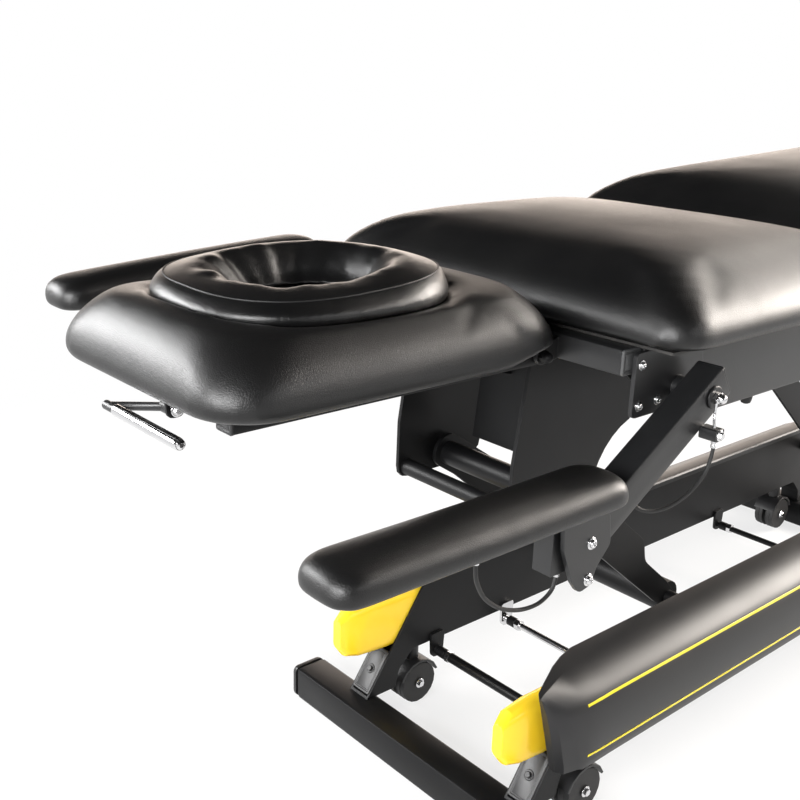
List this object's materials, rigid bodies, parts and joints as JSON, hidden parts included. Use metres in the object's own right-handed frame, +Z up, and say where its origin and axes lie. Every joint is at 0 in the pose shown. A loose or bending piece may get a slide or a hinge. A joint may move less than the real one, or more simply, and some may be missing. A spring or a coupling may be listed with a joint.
{
  "type": "electric massage table",
  "caption": "Height-adjustable massage table with a padded face-hole headrest, a tilting leg section, swinging armrests and a lifting base.",
  "frame": {"origin": "on the floor under the middle of the table's box", "axes": "+X from the head end to the foot end, +Y to the left side, +Z up"},
  "size_m": [1.9829, 0.73, 0.9365],
  "materials": {
    "black_steel": "satin black powder coat",
    "bright_steel": "bright plated",
    "black_leather": "semi-gloss black upholstery",
    "black_plastic": "black with a soft sheen",
    "yellow_plastic": "glossy yellow",
    "plywood": "black lacquer",
    "grey_aluminium": "cast",
    "black_rubber": "matt"
  },
  "bodies": {
    "base": {"base_beam_left": "black_steel", "base_beam_right": "black_steel", "base_cover_left": "black_plastic", "base_cover_right": "black_plastic", "beam_plug_left": "yellow_plastic", "beam_plug_right": "yellow_plastic", "foot_tube_head": "black_steel", "foot_tube_foot": "black_steel", "tie_rod_head": "black_steel", "tie_rod_middle": "bright_steel", "tie_rod_foot": "black_steel", "drive_bracket": "black_steel"},
    "lift_arm_head_body": {"lift_arm_head": "black_steel"},
    "lift_arm_foot_body": {"lift_arm_foot": "black_steel"},
    "drive_body": {"drive_barrel": "black_plastic", "drive_motor": "grey_aluminium"},
    "drive_rod_body": {"drive_rod": "bright_steel"},
    "deck": {"deck_rail_left": "black_steel", "deck_rail_right": "black_steel", "deck_front_tube": "black_steel", "deck_cross_head": "black_steel", "deck_cross_middle": "black_steel", "drop_plate_left": "black_steel", "drop_plate_right": "black_steel", "drop_stiffener": "black_steel", "drop_bracket_foot": "black_steel", "mid_board": "plywood", "mid_pad": "black_leather", "armrest_bracket_left": "black_steel", "armrest_bracket_right": "black_steel"},
    "head_section": {"head_frame": "black_steel", "head_board": "plywood", "head_pad": "black_leather", "face_cushion": "black_leather", "lever_bracket": "black_steel"},
    "lever": {"release_lever": "bright_steel"},
    "head_spring_body": {"head_strut_body": "black_steel"},
    "head_spring_rod": {"head_strut_rod": "bright_steel"},
    "leg_section": {"leg_frame": "black_steel", "leg_board": "plywood", "leg_pad": "black_leather"},
    "leg_spring_body": {"leg_strut_body": "black_steel"},
    "leg_spring_rod": {"leg_strut_rod": "bright_steel"},
    "arm_right": {"armrest_tube_right": "black_steel", "cable_upper": "black_rubber"},
    "arm_left": {"armrest_tube_left": "black_steel"},
    "arm_pad_right": {"armrest_carrier_right": "black_steel", "armrest_pad_right": "black_leather", "cable_lower": "black_rubber"},
    "arm_pad_left": {"armrest_carrier_left": "black_steel", "armrest_pad_left": "black_leather"},
    "castor_head_left_fork": {"castor_fork_head_left": "black_plastic"},
    "castor_head_left_wheel": {"castor_wheel_head_left": "black_rubber"},
    "castor_head_right_fork": {"castor_fork_head_right": "black_plastic"},
    "castor_head_right_wheel": {"castor_wheel_head_right": "black_rubber"},
    "castor_foot_left_fork": {"castor_fork_foot_left": "black_plastic"},
    "castor_foot_left_wheel": {"castor_wheel_foot_left": "black_rubber"},
    "castor_foot_right_fork": {"castor_fork_foot_right": "black_plastic"},
    "castor_foot_right_wheel": {"castor_wheel_foot_right": "black_rubber"}
  },
  "joints": [
    {"name": "lift", "type": "hinge", "parent": "base", "child": "lift_arm_head_body", "pos_m": [-0.05505, 0, 0.215], "axis": [0, 1, 0], "range_deg": [-47, 0]},
    {"name": "deck_level", "type": "hinge", "parent": "lift_arm_head_body", "child": "deck", "pos_m": [-0.39805, 0, 0.495], "axis": [0, 1, 0], "range_deg": [-0.5, 47.5]},
    {"name": "lift_follow", "type": "hinge", "parent": "base", "child": "lift_arm_foot_body", "pos_m": [0.86995, 0, 0.215], "axis": [0, 1, 0], "range_deg": [-47.5, 0.5]},
    {"name": "drive_tilt", "type": "hinge", "parent": "base", "child": "drive_body", "pos_m": [0.57495, -0.131, 0.2], "axis": [0, 1, 0], "range_deg": [-5.3, 0.3]},
    {"name": "drive_extend", "type": "slide", "parent": "drive_body", "child": "drive_rod_body", "axis": [0.9593, 0, 0.2825], "range_m": [-0.0672, 0.0005]},
    {"name": "head_tilt", "type": "hinge", "parent": "deck", "child": "head_section", "pos_m": [-0.49505, 0, 0.726], "axis": [0, 1, 0], "range_deg": [-40, 10]},
    {"name": "head_spring_tilt", "type": "hinge", "parent": "deck", "child": "head_spring_body", "pos_m": [-0.42005, 0, 0.668], "axis": [0, 1, 0], "range_deg": [-29.3, 7.5]},
    {"name": "head_spring_extend", "type": "slide", "parent": "head_spring_body", "child": "head_spring_rod", "axis": [-0.9937, 0, 0.1117], "range_m": [-0.0441, 0.0112]},
    {"name": "lever_pull", "type": "hinge", "parent": "head_section", "child": "lever", "pos_m": [-0.93805, 0, 0.701], "axis": [0, 1, 0], "range_deg": [0, 8], "stiffness_Nm_per_rad": 0.8, "springref_deg": -11.46},
    {"name": "leg_tilt", "type": "hinge", "parent": "deck", "child": "leg_section", "pos_m": [0.14495, 0, 0.768], "axis": [0, -1, 0], "range_deg": [-3.2, 15]},
    {"name": "leg_spring_tilt", "type": "hinge", "parent": "deck", "child": "leg_spring_body", "pos_m": [0.20995, 0, 0.66], "axis": [0, -1, 0], "range_deg": [-3.4, 14.8]},
    {"name": "leg_spring_extend", "type": "slide", "parent": "leg_spring_body", "child": "leg_spring_rod", "axis": [0.8966, 0, 0.4428], "range_m": [-0.0074, 0.0332]},
    {"name": "arm_swing_right", "type": "hinge", "parent": "deck", "child": "arm_right", "pos_m": [-0.36005, 0, 0.69], "axis": [0, 1, 0], "range_deg": [0, 38.5]},
    {"name": "arm_pad_level_right", "type": "hinge", "parent": "arm_right", "child": "arm_pad_right", "pos_m": [-0.58205, 0, 0.552], "axis": [0, 1, 0], "range_deg": [-42.7, 0.3]},
    {"name": "arm_swing_left", "type": "hinge", "parent": "deck", "child": "arm_left", "pos_m": [-0.36005, 0, 0.69], "axis": [0, 1, 0], "range_deg": [-20, 0]},
    {"name": "arm_pad_level_left", "type": "hinge", "parent": "arm_left", "child": "arm_pad_left", "pos_m": [-0.6197, 0, 0.7202], "axis": [0, 1, 0], "range_deg": [-0.3, 22.3]},
    {"name": "castor_swivel_head_left", "type": "hinge", "parent": "base", "child": "castor_head_left_fork", "pos_m": [-0.38305, 0.186, 0.042], "axis": [0, 0, 1], "continuous": true},
    {"name": "castor_spin_head_left", "type": "hinge", "parent": "castor_head_left_fork", "child": "castor_head_left_wheel", "pos_m": [-0.38305, 0.186, 0.042], "axis": [0, 1, 0], "continuous": true},
    {"name": "castor_swivel_head_right", "type": "hinge", "parent": "base", "child": "castor_head_right_fork", "pos_m": [-0.38305, -0.186, 0.042], "axis": [0, 0, 1], "continuous": true},
    {"name": "castor_spin_head_right", "type": "hinge", "parent": "castor_head_right_fork", "child": "castor_head_right_wheel", "pos_m": [-0.38305, -0.186, 0.042], "axis": [0, 1, 0], "continuous": true},
    {"name": "castor_swivel_foot_left", "type": "hinge", "parent": "base", "child": "castor_foot_left_fork", "pos_m": [0.81895, 0.186, 0.042], "axis": [0, 0, 1], "continuous": true},
    {"name": "castor_spin_foot_left", "type": "hinge", "parent": "castor_foot_left_fork", "child": "castor_foot_left_wheel", "pos_m": [0.81895, 0.186, 0.042], "axis": [0, 1, 0], "continuous": true},
    {"name": "castor_swivel_foot_right", "type": "hinge", "parent": "base", "child": "castor_foot_right_fork", "pos_m": [0.81895, -0.186, 0.042], "axis": [0, 0, 1], "continuous": true},
    {"name": "castor_spin_foot_right", "type": "hinge", "parent": "castor_foot_right_fork", "child": "castor_foot_right_wheel", "pos_m": [0.81895, -0.186, 0.042], "axis": [0, 1, 0], "continuous": true}
  ],
  "couplings": [
    {"joint": "deck_level", "follows": "lift", "ratio": -1},
    {"joint": "lift_follow", "follows": "lift", "ratio": 1},
    {"joint": "drive_tilt", "follows": "lift", "ratio": 0.10675},
    {"joint": "drive_extend", "follows": "lift", "m_per_rad": 0.081206},
    {"joint": "head_spring_tilt", "follows": "head_tilt", "ratio": 0.72483},
    {"joint": "head_spring_extend", "follows": "head_tilt", "m_per_rad": 0.062748},
    {"joint": "leg_spring_tilt", "follows": "leg_tilt", "ratio": 0.96842},
    {"joint": "leg_spring_extend", "follows": "leg_tilt", "m_per_rad": 0.12527},
    {"joint": "arm_pad_level_right", "follows": "arm_swing_right", "ratio": -1.1},
    {"joint": "arm_pad_level_left", "follows": "arm_swing_left", "ratio": -1.1}
  ]
}
